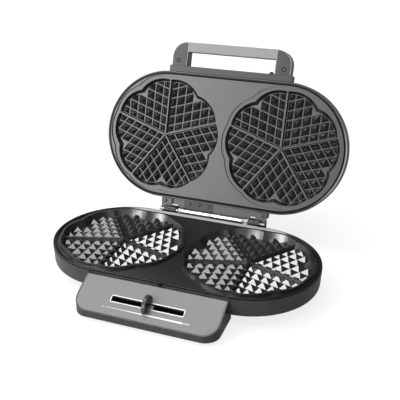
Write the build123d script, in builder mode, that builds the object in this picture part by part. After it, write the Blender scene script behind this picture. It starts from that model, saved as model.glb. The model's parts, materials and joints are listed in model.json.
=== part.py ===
from build123d import *
from math import atan, cos, degrees, pi, radians, sin
import os

# Double heart-waffle iron, standing open. Millimetres, +Z up, +X along the body, -Y is the front.
# "line" below is the common centre line of the two moulds; base heights are above the table, and lid
# heights are above the lid plate's face, into the lid, in the lid's closed position.

# ---- driving sizes ----
lobe_radius = 75.0          # mould floor: outer reach of each lobe
mould_edge = 14.5           # from the lobes' reach out to the body's end
mould_land = 1.4            # flat between the two moulds' seats
plate_height = 38.0         # base plate face above the table
open_angle = 107.5          # lid from closed to its stop
plate_gap = 1.9             # between the two plate faces when closed

# moulds
hearts = 5
edge_dip = 1.5              # floor outline where two hearts meet, in from the lobes
notch_dip = 7.0             # floor outline at each heart's notch, in from the lobes
notch_growth = 1.4          # the notch moves out this many times as fast as the lobes
mould_depth = 6.4
mould_draft = 4.8           # how far the mould wall leans out on its way up
lip_height = 3.0            # rim around each base mould, above the face
lip_width = 2.6
lip_clearance = 0.9         # between the rim and its seat in the lid plate
seat_depth = 1.8            # seat for the rim in the lid plate
pyramid_pitch = 12.9
pyramid_height = 5.2
pyramid_groove = 1.3        # flat floor between neighbouring pyramids
edge_row = 0.74             # width of the row beside a divider, in pitches
rim_gap = 0.8               # between the cut-off pyramids and the foot of the wall
least_cell = 0.12           # smallest cut-off pyramid kept, as a share of a whole one
pyramid_tip = 0.96          # share of the full point left on each pyramid
divider_width = 3.8         # at the floor
divider_top = 1.2
divider_height = 5.6
plate_web = 3.2             # plate thickness under the moulds
plate_flat = 4.0            # plate thickness between the moulds
wall_share = 0.6            # side wall of the moulds' undersides, as a share of plate_web
plate_fit = 0.4             # gap around each plate
casing_wall = 2.4
ledge_fit = 1.2             # between the moulds' undersides and the ledge that carries the plate

# base casing, bezel and wedge
bezel_width = 5.0
bezel_rise = 2.4            # base bezel above the plate face
bezel_edge = 1.5
bezel_top = 1.2             # width of the bezel's flat top, outside its slope
bezel_fall = 2.0            # how far the slope comes down to the base plate
lid_bezel_fall = 1.2        # the same in the lid
shadow_gap = 1.3            # slit between bezel and casing
casing_bottom = 15.0
side_lean = 1.0             # how far the casing narrows on its way down
bottom_round = 3.5
panel_angle = 27.0
panel_top_drop = 3.2        # panel's top edge below the plate face
panel_length = 47.0         # along the slope
panel_half_width = 86.0
panel_corner = 18.0
panel_thickness = 1.2
panel_margin = 1.5          # casing shown around the panel
wedge_bottom = 4.5
ledge_depth = 1.2           # ledge in front of the body above the panel
ledge_rise = 1.2            # its top above the plate face
wedge_overlap = 11.5        # how far the wedge reaches back under the body
wedge_screw_side = 10.0     # wedge screws, in from the panel's sides
wedge_screw_front = 13.0    # in from the wedge's front
wedge_screw_rear = 7.0      # in from its back wall
cover_thickness = 2.0
cover_fit = 0.3

# slider
slot_width = 7.0
slot_corner = 0.8
slot_from_top = 26.3        # along the slope, panel top edge to slot centre line
surround_width = 1.3
surround_wall = 0.6         # its wall through the panel
surround_rise = 0.6
slider_travel = 38.0        # each way from the middle
slot_end = 3.7              # slot left beyond the stem at each end of its travel
slider_clearance = 0.5
knob_radius = 12.0
knob_thickness = 5.0
stem_length = 4.6
stem_side_gap = 0.7         # between the stem and each side of the slot

# rack, pinion and thermostat
tooth_module = 1.0
pinion_teeth = 32
gear_thickness = 4.0
gear_height = 18.2          # underside of rack and pinion above the table
gear_backlash = 0.35
spindle_radius = 3.0
spindle_fit = 0.05
thermostat_inset = 11.5     # spindle behind the body's front
root_overlap = 0.05         # how far the teeth are let into the pinion's body
thermostat_radius = 8.8
thermostat_height = 7.4
thermostat_chamfer = 1.0
bracket_thickness = 0.8     # thermostat bracket, a sheet strip
rack_depth = 5.0

# hinge
hinge_reach = 15.5          # axis behind the body
hinge_drop = 2.3            # below the base plate face
rod_radius = 2.0
rod_half_length = 77.5
tube_radius = 3.6
hinge_fit = 0.05
knuckle_radius = 5.0
bracket_inner = 53.5
bracket_outer = 77.0
bracket_split = 62.0        # base knuckle inboard, lid knuckle outboard
flange_half_width = 79.0
flange_reach = 8.0          # rear flanges behind the body
flange_thickness = 6.0
flange_corner = 3.0
flange_low = 12.0           # base flange's underside below the hinge axis
lid_flange_start = 3.0      # lid flange above the lid plate's face
lid_flange_middle = 5.0     # how much further back the lid flange reaches between the brackets
lid_flange_gap = 0.6        # between that part and the base's brackets
hinge_side_gap = 0.4
screw_offset = 72.0
stop_gap = 0.12             # between the lid leaf and the base's stop post at full opening
leaf_sheet = 1.2            # sheet of the two tube leaves
lid_leaf_thickness = 3.0
leaf_top = 0.7              # base leaf's top below the axis
arm_thickness = 3.6
arm_gap = 0.9               # between the arm and the knuckle that turns above it
post_back = 12.0
post_top = 2.0
collar_width = 1.8
collar_radius = 4.2

# lid
lid_casing_start = 4.2      # casing edge above the lid plate face
lid_thickness = 32.0
lid_crown = 12.0            # rounding of the lid's top edge
lid_bezel_start = 1.8
handle_half_width = 84.5
handle_inner_half = 62.5
handle_reach = 41.0         # handle's front edge beyond the body
handle_bar = 13.0
handle_start = 2.0
handle_thickness = 20.0
handle_corner = 20.0
handle_skin = 1.5           # thin edge shown around each insert
insert_depth = 12.0
base_strip_depth = 8.2
base_strip_half_width = 87.0

# inside parts
element_radius = 3.2
element_loop = 44.0
element_gap = 14.0          # from the middle to each of the element's ends
shield_thickness = 0.8
shield_margin = 7.0         # between the shield's edge and the casing's wall
shield_gap = 1.0
pinion_gap = 2.0            # between the shield's notch and the pinion
cover_inset = 33.0          # opening in the casing's underside, in from the body's edge
cover_flange = 6.0
foot_inset = 13.5           # rear feet, in from the body's back
front_foot_inset = 18.0     # front feet, in from the edge of the opening
front_foot_angle = 65.4     # around the mould centres, towards the front
foot_seat = 1.0             # casing shown around each rear foot
foot_radius = 8.0
foot_height = 6.5
foot_round = 1.5
bezel_inset = 0.2           # bezel's outside in from the casing's
bezel_round = 0.4
bracket_clearance = 1.0     # around the thermostat's strip
bracket_round = 2.0
panel_fit = 0.1
lens_x = 5.0
lens_height = 37.0
lens_width = 5.0
lens_rise = 3.0
lens_depth = 1.1
lamp_height = 26.5
lamp_length = 9.0
gland_height = 19.4
lead_x = 20.0
cutout_size = (12, 8)
cutout_round = 2.0
cutout_height = 5.0
terminal_inset = 17.5       # in from the body's back
terminal_size = (26, 12)
terminal_height = 8.0
terminal_pitch = 8.0
terminal_bore = 2.2
collar_place = 45.4
leaf_screw_x = (8, 22, 36)
tooth_root = 1.3            # in modules, below and above the pitch line
tooth_tip = 0.8
pressure_angle = 20.0
knob_round = 1.2
arm_half = 6.0
arm_sheet = 2.0
rack_half = 42.0
spindle_gap = 0.2
spindle_cap = 1.8           # thermostat body above the spindle's end
lid_screw_grip = 4.0
cap_radius = 2.8
pilot_x = 57.0
pilot_height = 10.0
pilot_radius = 2.5
lid_lead_height = 15.0
strip_start = 1.0
handle_round = 3.0
handle_screw_x = 75.0
handle_screw_reach = 7.3    # from the base strip
clamp_width = 10.0
clamp_length = 8.0
clamp_wall = 1.2
clamp_fit = 0.2
lamp_radius = 1.8
lens_radius = 3.5
bush_radius = 3.0
gland_radius = 3.4
bush_lip = 0.8

# screws
screw_radius = 1.5
screw_head_radius = 2.5
screw_head_height = 1.4
screw_head_round = 0.7
cross_length = 2.8
cross_width = 0.7
cross_depth = 0.8
screw_clearance = 0.3       # around sunk heads
screw_end = 1.0             # hole left beyond each screw's end
boss_radius = 4.0
boss_gap = 4.4              # between the plate's bosses and the moulds' undersides
boss_angle = 58.0           # their place around the mould centres, from the middle
plate_boss_height = 6.0
cover_post_height = 4.4
screw_sink = 1.6            # how far screw heads sit below a casing's surface
wedge_screw_length = 6.0
bracket_screw_length = 10.0

# ---- derived places ----
body_radius = lobe_radius + mould_edge
heart_edge_radius = lobe_radius - edge_dip
heart_notch_radius = lobe_radius - notch_dip
seat_growth = mould_draft + lip_width + lip_clearance     # the lid plate's seats, out from the floor outline
mould_spacing = 2 * (lobe_radius + seat_growth) + mould_land
hinge_back = body_radius + hinge_reach                    # behind the mould line
wedge_rear = body_radius - wedge_overlap                  # back wall of the wedge, in front of the line
thermostat_back = body_radius - thermostat_inset          # spindle in front of the line
terminal_back = body_radius - terminal_inset
rest_lean = radians(open_angle - 90)
handle_front = body_radius + handle_reach
handle_back = handle_start + handle_thickness
front_reach = body_radius + ledge_depth + (panel_length + panel_margin) * cos(radians(panel_angle))
hinge_rise = hinge_drop + plate_gap                       # lid plate face above the hinge axis, closed
back_reach = (hinge_back + (handle_front + hinge_back) * sin(rest_lean)
              + (hinge_rise + handle_back) * cos(rest_lean))
line_y = (front_reach - back_reach) / 2                   # the footprint is centred on Y = 0
hinge_y = line_y + hinge_back
hinge_z = plate_height - hinge_drop
lid_open = Location((0, hinge_y, hinge_z)) * Location((0, 0, 0), (-open_angle, 0, 0))
bezel_inner = body_radius - bezel_width
plate_radius = bezel_inner - plate_fit
casing_top = plate_height + bezel_rise - bezel_edge - shadow_gap
panel_plane = (Plane((0, line_y - body_radius - ledge_depth, plate_height - panel_top_drop))
               .rotated((panel_angle, 0, 0)))
mould_centres = [(-mould_spacing / 2, 0), (mould_spacing / 2, 0)]
heart_angle = 360 / hearts
# how far the moulds' undersides stand out from the floor outline
plate_body_growth = mould_draft * (mould_depth - plate_flat) / mould_depth + wall_share * plate_web
ledge_inner = lobe_radius + plate_body_growth + ledge_fit
casing_inner = body_radius - casing_wall
screw_y = body_radius + flange_reach / 2                  # hinge screws' row
element_depth = mould_depth + plate_web + element_radius  # element's centre line from the plate face
clamp_depth = element_depth + element_radius + clamp_wall
flange_screw_points = ([(side * screw_offset, screw_y) for side in (-1, 1)]
                       + [(x, screw_y) for x in leaf_screw_x])
pinion_radius = tooth_module * pinion_teeth / 2
slot_length = 2 * (slider_travel + slot_end) + stem_length
stem_width = slot_width - 2 * stem_side_gap
rack_line = -thermostat_back - pinion_radius              # pitch line of the rack
screw_ring = lobe_radius + plate_body_growth + boss_radius + boss_gap
screw_ring_x = mould_spacing / 2 - screw_ring * cos(radians(boss_angle))
screw_ring_y = screw_ring * sin(radians(boss_angle))
plate_screw_points = [(x, y) for x in (-screw_ring_x, screw_ring_x) for y in (-screw_ring_y, screw_ring_y)]
slot_y = slot_from_top * cos(radians(panel_angle))        # slot's place in front of the panel's top edge
first_divider = -90.0                                     # one divider points at the front


def base_level(height):
    """A level plane through the mould line, this high above the table."""
    return Plane((0, line_y, height))


def lid_level(height):
    """A plane parallel to the lid plate's face, this far into the lid."""
    return Plane(lid_open * Location((0, -hinge_back, hinge_rise + height)))


def base_section(x):
    """A plane across the body at this x: its own x runs back, its own y runs up, from line and table."""
    return Plane(origin=(x, line_y, 0), x_dir=(0, 1, 0), z_dir=(1, 0, 0))


def hinge_section(x):
    """A plane across the hinge axis at this x: its own x runs back and its own y up, from the axis."""
    return Plane(origin=(x, hinge_y, hinge_z), x_dir=(0, 1, 0), z_dir=(1, 0, 0))


def lid_hinge_section(x):
    """The same for what turns with the lid, in the lid's closed position."""
    closed = Plane(origin=(x, 0, 0), x_dir=(0, 1, 0), z_dir=(1, 0, 0))
    return Plane(lid_open * closed.location)


def lid_face(y):
    """A plane across the lid, facing front: its own x is X and its own y goes into the lid."""
    closed = Plane(origin=(0, y - hinge_back, hinge_rise), x_dir=(1, 0, 0), z_dir=(0, -1, 0))
    return Plane(lid_open * closed.location)


def base_face(y):
    """A plane across the base at this y from the line: its own x is X and its own y is up, facing front."""
    return Plane(origin=(0, line_y + y, 0), x_dir=(1, 0, 0), z_dir=(0, -1, 0))


def polar(radius, angle):
    return (radius * cos(radians(angle)), radius * sin(radians(angle)))


def body_outline(radius):
    """Two half circles about the mould centres, joined by straight sides."""
    with BuildSketch() as outline:
        SlotCenterToCenter(mould_spacing, 2 * radius)
    return outline.sketch


def mould_outline(growth):
    """Ten lobes: each heart has two, with a deep notch between them and a shallow one at its divider."""
    edge = heart_edge_radius + growth
    lobe = lobe_radius + growth
    notch = heart_notch_radius + notch_growth * growth
    quarter = heart_angle / 4
    with BuildSketch() as outline:
        with BuildLine():
            for heart in range(hearts):
                start = first_divider + heart * heart_angle
                notch_angle = start + 2 * quarter
                ThreePointArc(polar(edge, start), polar(lobe, start + quarter), polar(notch, notch_angle))
                ThreePointArc(polar(notch, notch_angle), polar(lobe, start + 3 * quarter),
                              polar(edge, start + 4 * quarter))
        make_face()
    return outline.sketch


def cell_corners(row, column):
    """One cell's corners in the heart's own frame: +X runs from the mould's centre to the notch."""
    half_angle = heart_angle / 2
    along_a = Vector(*polar(1, -half_angle))
    along_b = Vector(*polar(1, half_angle))
    origin = Vector(divider_width / 2 / sin(radians(half_angle)), 0)
    near_a, far_a, near_b, far_b = [
        max(place, 0) * pyramid_pitch + side * pyramid_groove / 2
        for place, side in ((row - 1 + edge_row, 1), (row + edge_row, -1),
                            (column - 1 + edge_row, 1), (column + edge_row, -1))]
    return [origin + along_a * a + along_b * b
            for a, b in ((near_a, near_b), (far_a, near_b), (far_a, far_b), (near_a, far_b))]


def pyramid_field(height_sign):
    """One heart's pyramids on the floor plane z = 0. Rows run parallel to the heart's two dividers and are
    narrower beside them. The wall cuts off the outer ones, and the cell at the notch is left flat."""
    rows = int(lobe_radius / pyramid_pitch) + 1
    with BuildPart() as field:
        for row in range(rows):
            for column in range(rows):
                corners = cell_corners(row, column)
                if corners[0].length > lobe_radius:
                    continue
                if row == column and corners[2].length > heart_notch_radius:
                    continue
                width = min((corners[1] - corners[0]).length, (corners[3] - corners[0]).length)
                rise = pyramid_height * width / (pyramid_pitch - pyramid_groove)
                slope = degrees(atan(width / 2 * sin(radians(heart_angle)) / rise))
                with BuildSketch(Plane.XY):
                    with BuildLine():
                        Polyline(*[(corner.X, corner.Y) for corner in corners], close=True)
                    make_face()
                extrude(amount=rise * pyramid_tip, taper=slope, clean=False)
        with BuildSketch(Plane.XY):
            with Locations(Location((0, 0, 0), (0, 0, -first_divider - heart_angle / 2))):
                add(mould_outline(-rim_gap))
        extrude(amount=pyramid_height, mode=Mode.INTERSECT, clean=False)
    whole = pyramid_height * (pyramid_pitch - pyramid_groove) ** 2 * sin(radians(heart_angle)) / 3
    kept = [solid for solid in field.part.solids() if solid.volume > least_cell * whole]
    if height_sign < 0:
        return [solid.mirror(Plane.XY) for solid in kept]
    return kept


def waffle_plate(level, up, label):
    """A baking plate. `level` gives planes by height above its face, and `up` is 1 where the mould opens
    towards higher heights (the base) and -1 where it opens towards lower ones (the lid)."""
    floor_height = -up * mould_depth
    top = lip_height if up > 0 else 0
    ridge_taper = degrees(atan((divider_width - divider_top) / 2 / divider_height))
    with BuildPart() as plate:
        with BuildSketch(level(-up * plate_flat)):
            add(body_outline(plate_radius))
        extrude(amount=up * plate_flat)
        for centre in mould_centres:
            with BuildSketch(level(floor_height - up * plate_web)):
                with Locations(centre):
                    add(mould_outline(plate_body_growth))
            extrude(amount=up * (mould_depth + plate_web - plate_flat / 2))
            if up > 0:
                with BuildSketch(level(0)):
                    with Locations(centre):
                        add(mould_outline(mould_draft + lip_width))
                extrude(amount=lip_height)
            else:
                with BuildSketch(level(0)):
                    with Locations(centre):
                        add(mould_outline(seat_growth))
                extrude(amount=seat_depth, mode=Mode.SUBTRACT)
        for centre in mould_centres:
            with BuildPart(mode=Mode.SUBTRACT):
                with BuildSketch(level(floor_height)):
                    with Locations(centre):
                        add(mould_outline(0))
                with BuildSketch(level(up * top)):
                    with Locations(centre):
                        add(mould_outline(mould_draft))
                loft(ruled=True)
                for heart in range(hearts):
                    with BuildSketch(level(floor_height)):
                        with Locations(Location((*centre, 0), (0, 0, first_divider + heart * heart_angle))):
                            Rectangle(lobe_radius + 2 * mould_draft, divider_width,
                                      align=(Align.MIN, Align.CENTER))
                    extrude(amount=up * divider_height, taper=ridge_taper, mode=Mode.SUBTRACT)
        with BuildSketch(level(-up * plate_flat)):
            with Locations(*plate_screw_points):
                Circle(boss_radius)
        extrude(amount=-up * plate_boss_height)
        with BuildSketch(level(-up * (plate_flat + plate_boss_height))):
            with Locations(*plate_screw_points):
                Circle(screw_radius)
        extrude(amount=up * plate_boss_height, mode=Mode.SUBTRACT)
        cells = pyramid_field(up)
        placed = []
        for centre in mould_centres:
            for heart in range(hearts):
                turn = first_divider + heart_angle * (heart + 0.5)
                spot = level(floor_height).location * Location((*centre, 0), (0, 0, turn))
                placed += [spot * cell for cell in cells]
        add(placed, clean=False)
    plate.part.label = label
    return plate


def body_ring(level, height, outer, inner):
    """A ring between two body outlines, from `level` along its normal."""
    with BuildPart() as ring:
        with BuildSketch(level):
            add(body_outline(outer))
            add(body_outline(inner), mode=Mode.SUBTRACT)
        extrude(amount=height)
    return ring.part


def posts(level, height, radius, points):
    """Round posts from `level` along its normal."""
    with BuildPart() as group:
        with BuildSketch(level):
            with Locations(*points):
                Circle(radius)
        extrude(amount=height)
    return group.part


def screw_group(level, seat, shank, points, label):
    """Cross-recess screws with the underside of their heads at `seat`; the shank's sign is its direction."""
    outward = -1 if shank > 0 else 1
    axis = Axis(level(0).origin, level(0).z_dir * outward)
    with BuildPart() as group:
        with BuildSketch(level(seat)):
            with Locations(*points):
                Circle(screw_head_radius)
        extrude(amount=outward * screw_head_height)
        fillet(group.edges().group_by(axis)[-1], screw_head_round)
        with BuildSketch(level(seat)):
            with Locations(*points):
                Circle(screw_radius)
        extrude(amount=shank)
        with BuildSketch(level(seat + outward * screw_head_height)):
            with Locations(*points):
                Rectangle(cross_length, cross_width)
                Rectangle(cross_width, cross_length)
        extrude(amount=-outward * cross_depth, mode=Mode.SUBTRACT)
    group.part.label = label
    return group


def heating_element(level, up, label):
    """A tubular element, one open loop under both moulds with its two ends at the back middle."""
    end = mould_spacing / 2
    with BuildPart() as element:
        with BuildLine(level(-up * element_depth)):
            Line((element_gap, element_loop), (end, element_loop))
            ThreePointArc((end, element_loop), (end + element_loop, 0), (end, -element_loop))
            Line((end, -element_loop), (-end, -element_loop))
            ThreePointArc((-end, -element_loop), (-end - element_loop, 0), (-end, element_loop))
            Line((-end, element_loop), (-element_gap, element_loop))
        start = level(-up * element_depth).location * Location((element_gap, element_loop, 0), (0, 90, 0))
        with BuildSketch(Plane(start)):
            Circle(element_radius)
        sweep()
    element.part.label = label
    return element


def element_clamps(level, up, label):
    """Saddles under the element, their legs up against the moulds' undersides."""
    end = mould_spacing / 2
    along = [(x, y) for x in (-end, end) for y in (-element_loop, element_loop)]
    across = [(-end - element_loop, 0), (end + element_loop, 0)]
    with BuildPart() as clamps:
        with BuildSketch(level(-up * clamp_depth)):
            with Locations(*along):
                Rectangle(clamp_length, clamp_width)
            with Locations(*across):
                Rectangle(clamp_width, clamp_length)
        extrude(amount=up * (clamp_depth - mould_depth - plate_web))
        with BuildSketch(level(-up * (clamp_depth - clamp_wall))):
            with Locations(*along):
                Rectangle(clamp_length, 2 * (element_radius + clamp_fit))
            with Locations(*across):
                Rectangle(2 * (element_radius + clamp_fit), clamp_length)
        extrude(amount=up * 2 * element_radius, mode=Mode.SUBTRACT)
    clamps.part.label = label
    return clamps


def heat_shield(level, up, label, front_notch):
    """A sheet under the clamps, notched round the screw posts and, in the base, round the thermostat."""
    with BuildPart() as shield:
        with BuildSketch(level(-up * clamp_depth)):
            add(body_outline(casing_inner - shield_margin))
            with Locations(*plate_screw_points):
                Circle(boss_radius + shield_gap, mode=Mode.SUBTRACT)
            if front_notch:
                with Locations((0, pinion_radius + pinion_gap - thermostat_back)):
                    Rectangle(2 * (pinion_radius + pinion_gap), body_radius, align=(Align.CENTER, Align.MAX),
                              mode=Mode.SUBTRACT)
                with Locations((0, terminal_back)):
                    Rectangle(terminal_size[0] + 2 * shield_gap, 2 * terminal_size[1], mode=Mode.SUBTRACT)
        extrude(amount=-up * shield_thickness)
    shield.part.label = label
    return shield


def panel_outline(inset):
    """The control panel's outline on its slope, from its top edge down."""
    with BuildSketch() as panel:
        with Locations((0, -panel_length / 2)):
            Rectangle(2 * (panel_half_width - inset), panel_length - 2 * inset)
        fillet(panel.vertices().group_by(Axis.Y)[0], panel_corner - inset)
    return panel.sketch


def slot_outline(growth):
    """The slider's slot on the panel's slope, grown by this much."""
    with BuildSketch() as slot:
        with Locations((0, -slot_from_top)):
            RectangleRounded(slot_length + 2 * growth, slot_width + 2 * growth, slot_corner + growth)
    return slot.sketch


def plan_wedge(inset):
    """The wedge seen from above: a rectangle with its front corners rounded."""
    half = panel_half_width + panel_margin - inset
    with BuildSketch() as plan:
        with Locations((0, -(front_reach + wedge_rear) / 2)):
            Rectangle(2 * half, front_reach - wedge_rear - 2 * inset)
        fillet(plan.vertices().group_by(Axis.Y)[0], panel_corner - inset)
    return plan.sketch


def above_slope(drop):
    """Everything in front of the ledge and above the panel's slope, lowered by `drop` along its normal."""
    edge = -body_radius - ledge_depth
    top = plate_height - panel_top_drop - drop / cos(radians(panel_angle))
    run = 3 * panel_length
    far = edge - run
    with BuildPart() as space:
        with BuildSketch(base_section(-body_radius - mould_spacing)):
            with BuildLine():
                Polyline((edge, top), (edge, 2 * plate_height), (far, 2 * plate_height),
                         (far, top - run * sin(radians(panel_angle)) / cos(radians(panel_angle))),
                         close=True)
            make_face()
        extrude(amount=2 * (body_radius + mould_spacing))
    return space.part


def slope_height(y, depth):
    """Height above the table of the panel's slope at this y, `depth` below it along its normal."""
    slope = radians(panel_angle)
    run = -y - body_radius - ledge_depth
    return plate_height - panel_top_drop - run * sin(slope) / cos(slope) - depth / cos(slope)


def thermal_cutout(level, up, label):
    with BuildPart() as cutout:
        with BuildSketch(level(-up * clamp_depth)):
            RectangleRounded(*cutout_size, cutout_round)
        extrude(amount=up * cutout_height)
    cutout.part.label = label
    return cutout


def plate_level(height):
    """A level plane this high above the base plate's face."""
    return base_level(plate_height + height)


# ---- base casing ----
side_taper = degrees(atan(side_lean / (casing_top - casing_bottom)))
cavity_floor = casing_bottom + casing_wall
plate_seat = plate_height - plate_flat
slope_shell = panel_thickness + casing_wall
wedge_post_top = slope_height(wedge_screw_front - front_reach, slope_shell) + casing_wall / 2
wedge_screw_x = panel_half_width - wedge_screw_side
wedge_screw_points = [(x, y) for x in (-wedge_screw_x, wedge_screw_x)
                      for y in (wedge_screw_front - front_reach, -wedge_rear - wedge_screw_rear)]
cover_opening = body_radius - cover_inset
cover_screw_radius = cover_opening + cover_flange / 2 + cover_thickness
cover_screw_points = ([(x * mould_spacing / 2, y * cover_screw_radius) for x in (-1, 1) for y in (-1, 1)]
                      + [(side * (mould_spacing / 2 + cover_screw_radius), 0) for side in (-1, 1)])
rear_foot_points = [(side * mould_spacing / 2, body_radius - foot_inset) for side in (-1, 1)]
front_foot = polar(cover_opening - front_foot_inset, front_foot_angle)
front_foot_points = [(side * (mould_spacing / 2 + front_foot[0]), -front_foot[1]) for side in (-1, 1)]

with BuildPart() as wedge_space:
    with BuildSketch(base_level(wedge_bottom)):
        add(plan_wedge(casing_wall))
    extrude(amount=plate_height)
    add(above_slope(slope_shell), mode=Mode.SUBTRACT)
    with BuildSketch(base_level(casing_bottom)):
        Rectangle(3 * mould_spacing, 2 * body_radius)
    extrude(amount=2 * plate_height, mode=Mode.SUBTRACT)

with BuildPart() as lower_casing:
    with BuildSketch(base_level(casing_top)):
        add(body_outline(body_radius))
    extrude(amount=-(casing_top - casing_bottom), taper=side_taper)
    fillet(lower_casing.edges().group_by(Axis.Z)[0], bottom_round)
    with BuildSketch(base_level(wedge_bottom)):
        add(plan_wedge(0))
    extrude(amount=plate_height + ledge_rise - wedge_bottom)
    add(above_slope(0), mode=Mode.SUBTRACT)
    with BuildSketch(base_level(hinge_z - flange_low)):
        with Locations((0, body_radius - flange_reach)):
            RectangleRounded(2 * flange_half_width, 4 * flange_reach, flange_corner)
    extrude(amount=flange_thickness)
    with BuildSketch(base_level(cavity_floor)):
        add(body_outline(casing_inner))
    extrude(amount=plate_height, mode=Mode.SUBTRACT)
    with BuildSketch(base_level(casing_top)):
        add(body_outline(body_radius))
    extrude(amount=plate_height, mode=Mode.SUBTRACT)
    with BuildSketch(base_level(casing_bottom)):
        add(body_outline(cover_opening))
    extrude(amount=casing_wall, mode=Mode.SUBTRACT)
    add(wedge_space.part, mode=Mode.SUBTRACT)
    add(body_ring(base_level(plate_seat - casing_wall), casing_wall, casing_inner, ledge_inner))
    with BuildSketch(base_level(plate_seat)):
        with Locations((0, -casing_inner)):
            Rectangle(4 * thermostat_radius + 2 * bracket_clearance,
                      2 * (casing_inner - ledge_inner + bracket_clearance))
        add(body_outline(casing_inner), mode=Mode.INTERSECT)
    extrude(amount=-casing_wall, mode=Mode.SUBTRACT)
    # posts for the plate screws, the cover screws and the rear feet
    add(posts(base_level(casing_bottom), plate_seat - plate_boss_height - casing_bottom, boss_radius,
              plate_screw_points))
    add(posts(base_level(casing_bottom), cover_post_height, boss_radius, cover_screw_points))
    add(posts(base_level(foot_height), casing_bottom - foot_height, foot_radius + foot_seat,
              rear_foot_points))
    add(posts(base_level(wedge_bottom + cover_thickness), wedge_post_top - wedge_bottom - cover_thickness,
              boss_radius, wedge_screw_points))
    # holes: plate screws with sunk heads, cover screws, lens, gland, lead bush and terminal cover
    add(posts(base_level(casing_bottom), screw_sink, screw_head_radius + screw_clearance, plate_screw_points),
        mode=Mode.SUBTRACT)
    add(posts(base_level(casing_bottom), plate_height, screw_radius, plate_screw_points), mode=Mode.SUBTRACT)
    add(posts(base_level(casing_bottom), cover_post_height - screw_end, screw_radius, cover_screw_points),
        mode=Mode.SUBTRACT)
    add(posts(base_level(wedge_bottom), wedge_screw_length + cover_thickness, screw_radius,
              wedge_screw_points), mode=Mode.SUBTRACT)
    add(posts(base_level(hinge_z - flange_low), flange_thickness, screw_radius, flange_screw_points),
        mode=Mode.SUBTRACT)
    # window in the front wall for the pinion
    with BuildSketch(base_level(cavity_floor)):
        with Locations((0, -body_radius)):
            Rectangle(2 * (pinion_radius + tooth_module), 4 * casing_wall)
    extrude(amount=gear_height + gear_thickness + slider_clearance - cavity_floor, mode=Mode.SUBTRACT)
    # seat of the panel, slot for the slider's stem, windows for the lens, the gland and the lead
    with BuildSketch(panel_plane):
        add(panel_outline(0))
    extrude(amount=-panel_thickness, mode=Mode.SUBTRACT)
    with BuildSketch(panel_plane):
        add(slot_outline(0))
    extrude(amount=-2 * slope_shell, mode=Mode.SUBTRACT)
    with BuildSketch(base_face(-body_radius - ledge_depth)):
        with Locations((lens_x, lens_height)):
            Rectangle(lens_width, lens_rise)
    extrude(amount=-lens_depth, mode=Mode.SUBTRACT)
    with BuildSketch(base_face(body_radius + 1)):
        with Locations((0, gland_height)):
            Circle(gland_radius)
        with Locations((lead_x, gland_height)):
            Circle(bush_radius)
    extrude(amount=2 * casing_wall, mode=Mode.SUBTRACT)
lower_casing.part.label = "lower_casing"


# ---- base covers, bezel, plate and inside parts ----
with BuildPart() as bottom_cover:
    with BuildSketch(base_level(foot_height)):
        add(body_outline(cover_opening + cover_thickness))
    extrude(amount=casing_bottom - foot_height)
    with BuildSketch(base_level(casing_bottom)):
        add(body_outline(cover_opening + cover_thickness + cover_flange))
    extrude(amount=-cover_thickness)
    with BuildSketch(base_level(foot_height + cover_thickness)):
        add(body_outline(cover_opening))
    extrude(amount=casing_bottom, mode=Mode.SUBTRACT)
    add(posts(base_level(0), casing_bottom, screw_radius, cover_screw_points), mode=Mode.SUBTRACT)
bottom_cover.part.label = "bottom_cover"

with BuildPart() as panel_cover:
    with BuildSketch(base_level(wedge_bottom)):
        add(plan_wedge(casing_wall + cover_fit))
    extrude(amount=cover_thickness)
    add(posts(base_level(0), casing_bottom, screw_radius, wedge_screw_points), mode=Mode.SUBTRACT)
panel_cover.part.label = "panel_cover"

with BuildPart() as lower_bezel:
    add(body_ring(plate_level(bezel_rise), -bezel_edge, body_radius - bezel_inset, bezel_inner))
    add(body_ring(plate_level(bezel_rise - bezel_edge), plate_seat - plate_height - bezel_rise + bezel_edge,
                  casing_inner - bezel_inset, bezel_inner))
    with BuildPart(mode=Mode.SUBTRACT):
        with BuildSketch(plate_level(bezel_rise - bezel_fall)):
            add(body_outline(bezel_inner))
        with BuildSketch(plate_level(bezel_rise)):
            add(body_outline(body_radius - bezel_inset - bezel_top))
        loft(ruled=True)
    fillet(lower_bezel.edges().group_by(Axis.Z)[-1], bezel_round)
lower_bezel.part.label = "lower_bezel"

lower_plate = waffle_plate(plate_level, 1, "lower_plate")
lower_heating_element = heating_element(plate_level, 1, "lower_heating_element")
lower_element_clamps = element_clamps(plate_level, 1, "lower_element_clamps")
lower_heat_shield = heat_shield(plate_level, 1, "lower_heat_shield", True)
lower_plate_screws = screw_group(base_level, casing_bottom + screw_sink,
                                 plate_seat - screw_sink - casing_bottom - screw_end, plate_screw_points,
                                 "lower_plate_screws")
cover_screws = screw_group(base_level, casing_bottom - cover_thickness,
                           cover_thickness + cover_post_height - screw_end, cover_screw_points,
                           "cover_screws")
wedge_screws = screw_group(base_level, wedge_bottom, wedge_screw_length, wedge_screw_points, "wedge_screws")

with BuildPart() as control_panel:
    with BuildSketch(panel_plane):
        add(panel_outline(panel_fit))
        add(slot_outline(surround_wall), mode=Mode.SUBTRACT)
    extrude(amount=-panel_thickness)
control_panel.part.label = "control_panel"

with BuildPart() as slot_surround:
    with BuildSketch(panel_plane):
        add(slot_outline(surround_width))
    extrude(amount=surround_rise)
    with BuildSketch(panel_plane):
        add(slot_outline(surround_wall))
    extrude(amount=-panel_thickness)
    with BuildSketch(panel_plane.offset(surround_rise)):
        add(slot_outline(0))
    extrude(amount=-slope_shell, mode=Mode.SUBTRACT)
slot_surround.part.label = "slot_surround"

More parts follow.
